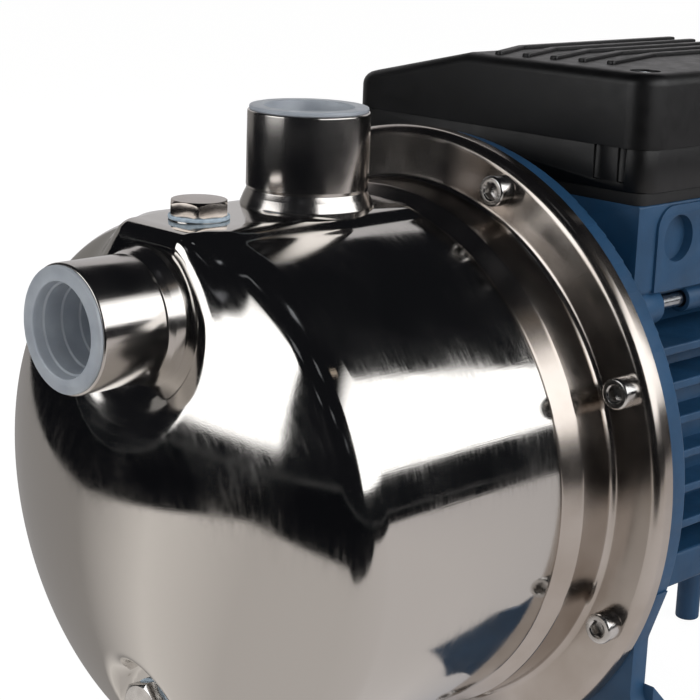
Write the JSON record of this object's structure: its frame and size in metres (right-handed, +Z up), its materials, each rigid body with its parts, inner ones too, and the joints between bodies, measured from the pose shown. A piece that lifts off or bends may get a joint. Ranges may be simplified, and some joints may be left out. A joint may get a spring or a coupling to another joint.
{
  "type": "shallow well jet pump",
  "caption": "Self-priming electric jet pump: dished stainless casing with threaded front suction and top delivery ports, finned motor and terminal box.",
  "frame": {"origin": "centre of the two base bolt holes, on the underside of the foot", "axes": "+Y along the shaft from the pump end to the fan end, +Z up, +X to the right seen from the pump end"},
  "size_m": [0.218, 0.3811, 0.2482],
  "materials": {
    "polished_stainless": "mirror polished, fine buffing scratches",
    "satin_stainless": "satin rolled sheet",
    "turned_stainless": "turned and tumbled",
    "milky_polyethylene": "translucent, moulded",
    "pale_fibre": "pressed fibre",
    "black_rubber": "moulded",
    "ceramic": "lapped",
    "carbon": "lapped",
    "brass_casting": "cast and turned",
    "ground_steel": "ground",
    "grey_technopolymer": "glass filled, moulded",
    "electrical_steel": "laminated",
    "blue_painted_aluminium": "cast, textured blue paint",
    "copper_winding": "varnished",
    "zinc_plated_steel": "bright zinc plated",
    "blue_painted_steel": "textured blue paint",
    "black_nylon": "moulded",
    "black_abs": "fine spark texture, moulded",
    "white_polypropylene": "moulded"
  },
  "bodies": {
    "pump": {"pump_body": "polished_stainless", "suction_socket": "polished_stainless", "delivery_socket": "polished_stainless", "filling_bush": "turned_stainless", "filling_washer": "pale_fibre", "drain_bush": "turned_stainless", "drain_washer": "pale_fibre", "body_screws": "turned_stainless", "body_o_ring": "black_rubber", "back_plate": "satin_stainless", "seal_seat": "ceramic", "diffuser": "grey_technopolymer", "venturi_tube": "grey_technopolymer", "ejector_body": "grey_technopolymer", "ejector_nozzle": "grey_technopolymer", "front_bearing_outer": "ground_steel", "rear_bearing_outer": "ground_steel", "wave_spring": "ground_steel", "motor_bracket": "blue_painted_aluminium", "stator_core": "electrical_steel", "front_winding": "copper_winding", "rear_winding": "copper_winding", "motor_housing": "blue_painted_aluminium", "tie_rods": "zinc_plated_steel", "tie_rod_nuts": "zinc_plated_steel", "rear_end_shield": "blue_painted_aluminium", "rear_support_leg": "blue_painted_steel", "fan_cowl": "blue_painted_steel", "cowl_screws": "zinc_plated_steel", "box_gasket": "black_rubber", "terminal_box_base": "black_abs", "lid_gasket": "black_rubber", "terminal_box_lid": "black_abs", "lid_screws": "zinc_plated_steel", "terminal_board": "black_nylon", "capacitor": "white_polypropylene", "cable_gland": "black_nylon"},
    "rotor": {"motor_shaft": "ground_steel", "rotor_core": "electrical_steel", "impeller": "brass_casting", "shaft_key": "ground_steel", "impeller_nut": "turned_stainless", "seal_rotating_face": "carbon", "seal_spring": "turned_stainless", "shaft_slinger": "black_rubber", "front_bearing_inner": "ground_steel", "rear_bearing_inner": "ground_steel", "cooling_fan": "black_nylon"},
    "front_cage": {"front_bearing_balls": "ground_steel", "front_bearing_cage": "ground_steel"},
    "rear_cage": {"rear_bearing_balls": "ground_steel", "rear_bearing_cage": "ground_steel"},
    "filling_plug": {"filling_plug": "turned_stainless"},
    "drain_plug": {"drain_plug": "turned_stainless"},
    "suction_cap": {"suction_thread_cap": "milky_polyethylene"},
    "delivery_cap": {"delivery_thread_cap": "milky_polyethylene"}
  },
  "joints": [
    {"name": "rotor_spin", "type": "hinge", "parent": "pump", "child": "rotor", "pos_m": [0, -0.032, 0.116], "axis": [0, 1, 0], "continuous": true},
    {"name": "front_cage_spin", "type": "hinge", "parent": "pump", "child": "front_cage", "pos_m": [0, -0.009, 0.116], "axis": [0, 1, 0], "continuous": true},
    {"name": "rear_cage_spin", "type": "hinge", "parent": "pump", "child": "rear_cage", "pos_m": [0, 0.134, 0.116], "axis": [0, 1, 0], "continuous": true},
    {"name": "filling_plug_lift", "type": "slide", "parent": "pump", "child": "filling_plug", "axis": [0, 0, 1], "range_m": [0, 0.03]},
    {"name": "drain_plug_pull", "type": "slide", "parent": "pump", "child": "drain_plug", "axis": [0, -1, 0], "range_m": [0, 0.03]},
    {"name": "suction_cap_pull", "type": "slide", "parent": "pump", "child": "suction_cap", "axis": [0, -1, 0], "range_m": [0, 0.04]},
    {"name": "delivery_cap_lift", "type": "slide", "parent": "pump", "child": "delivery_cap", "axis": [0, 0, 1], "range_m": [0, 0.04]}
  ],
  "couplings": [
    {"joint": "front_cage_spin", "follows": "rotor_spin", "ratio": 0.388},
    {"joint": "rear_cage_spin", "follows": "rotor_spin", "ratio": 0.388}
  ]
}
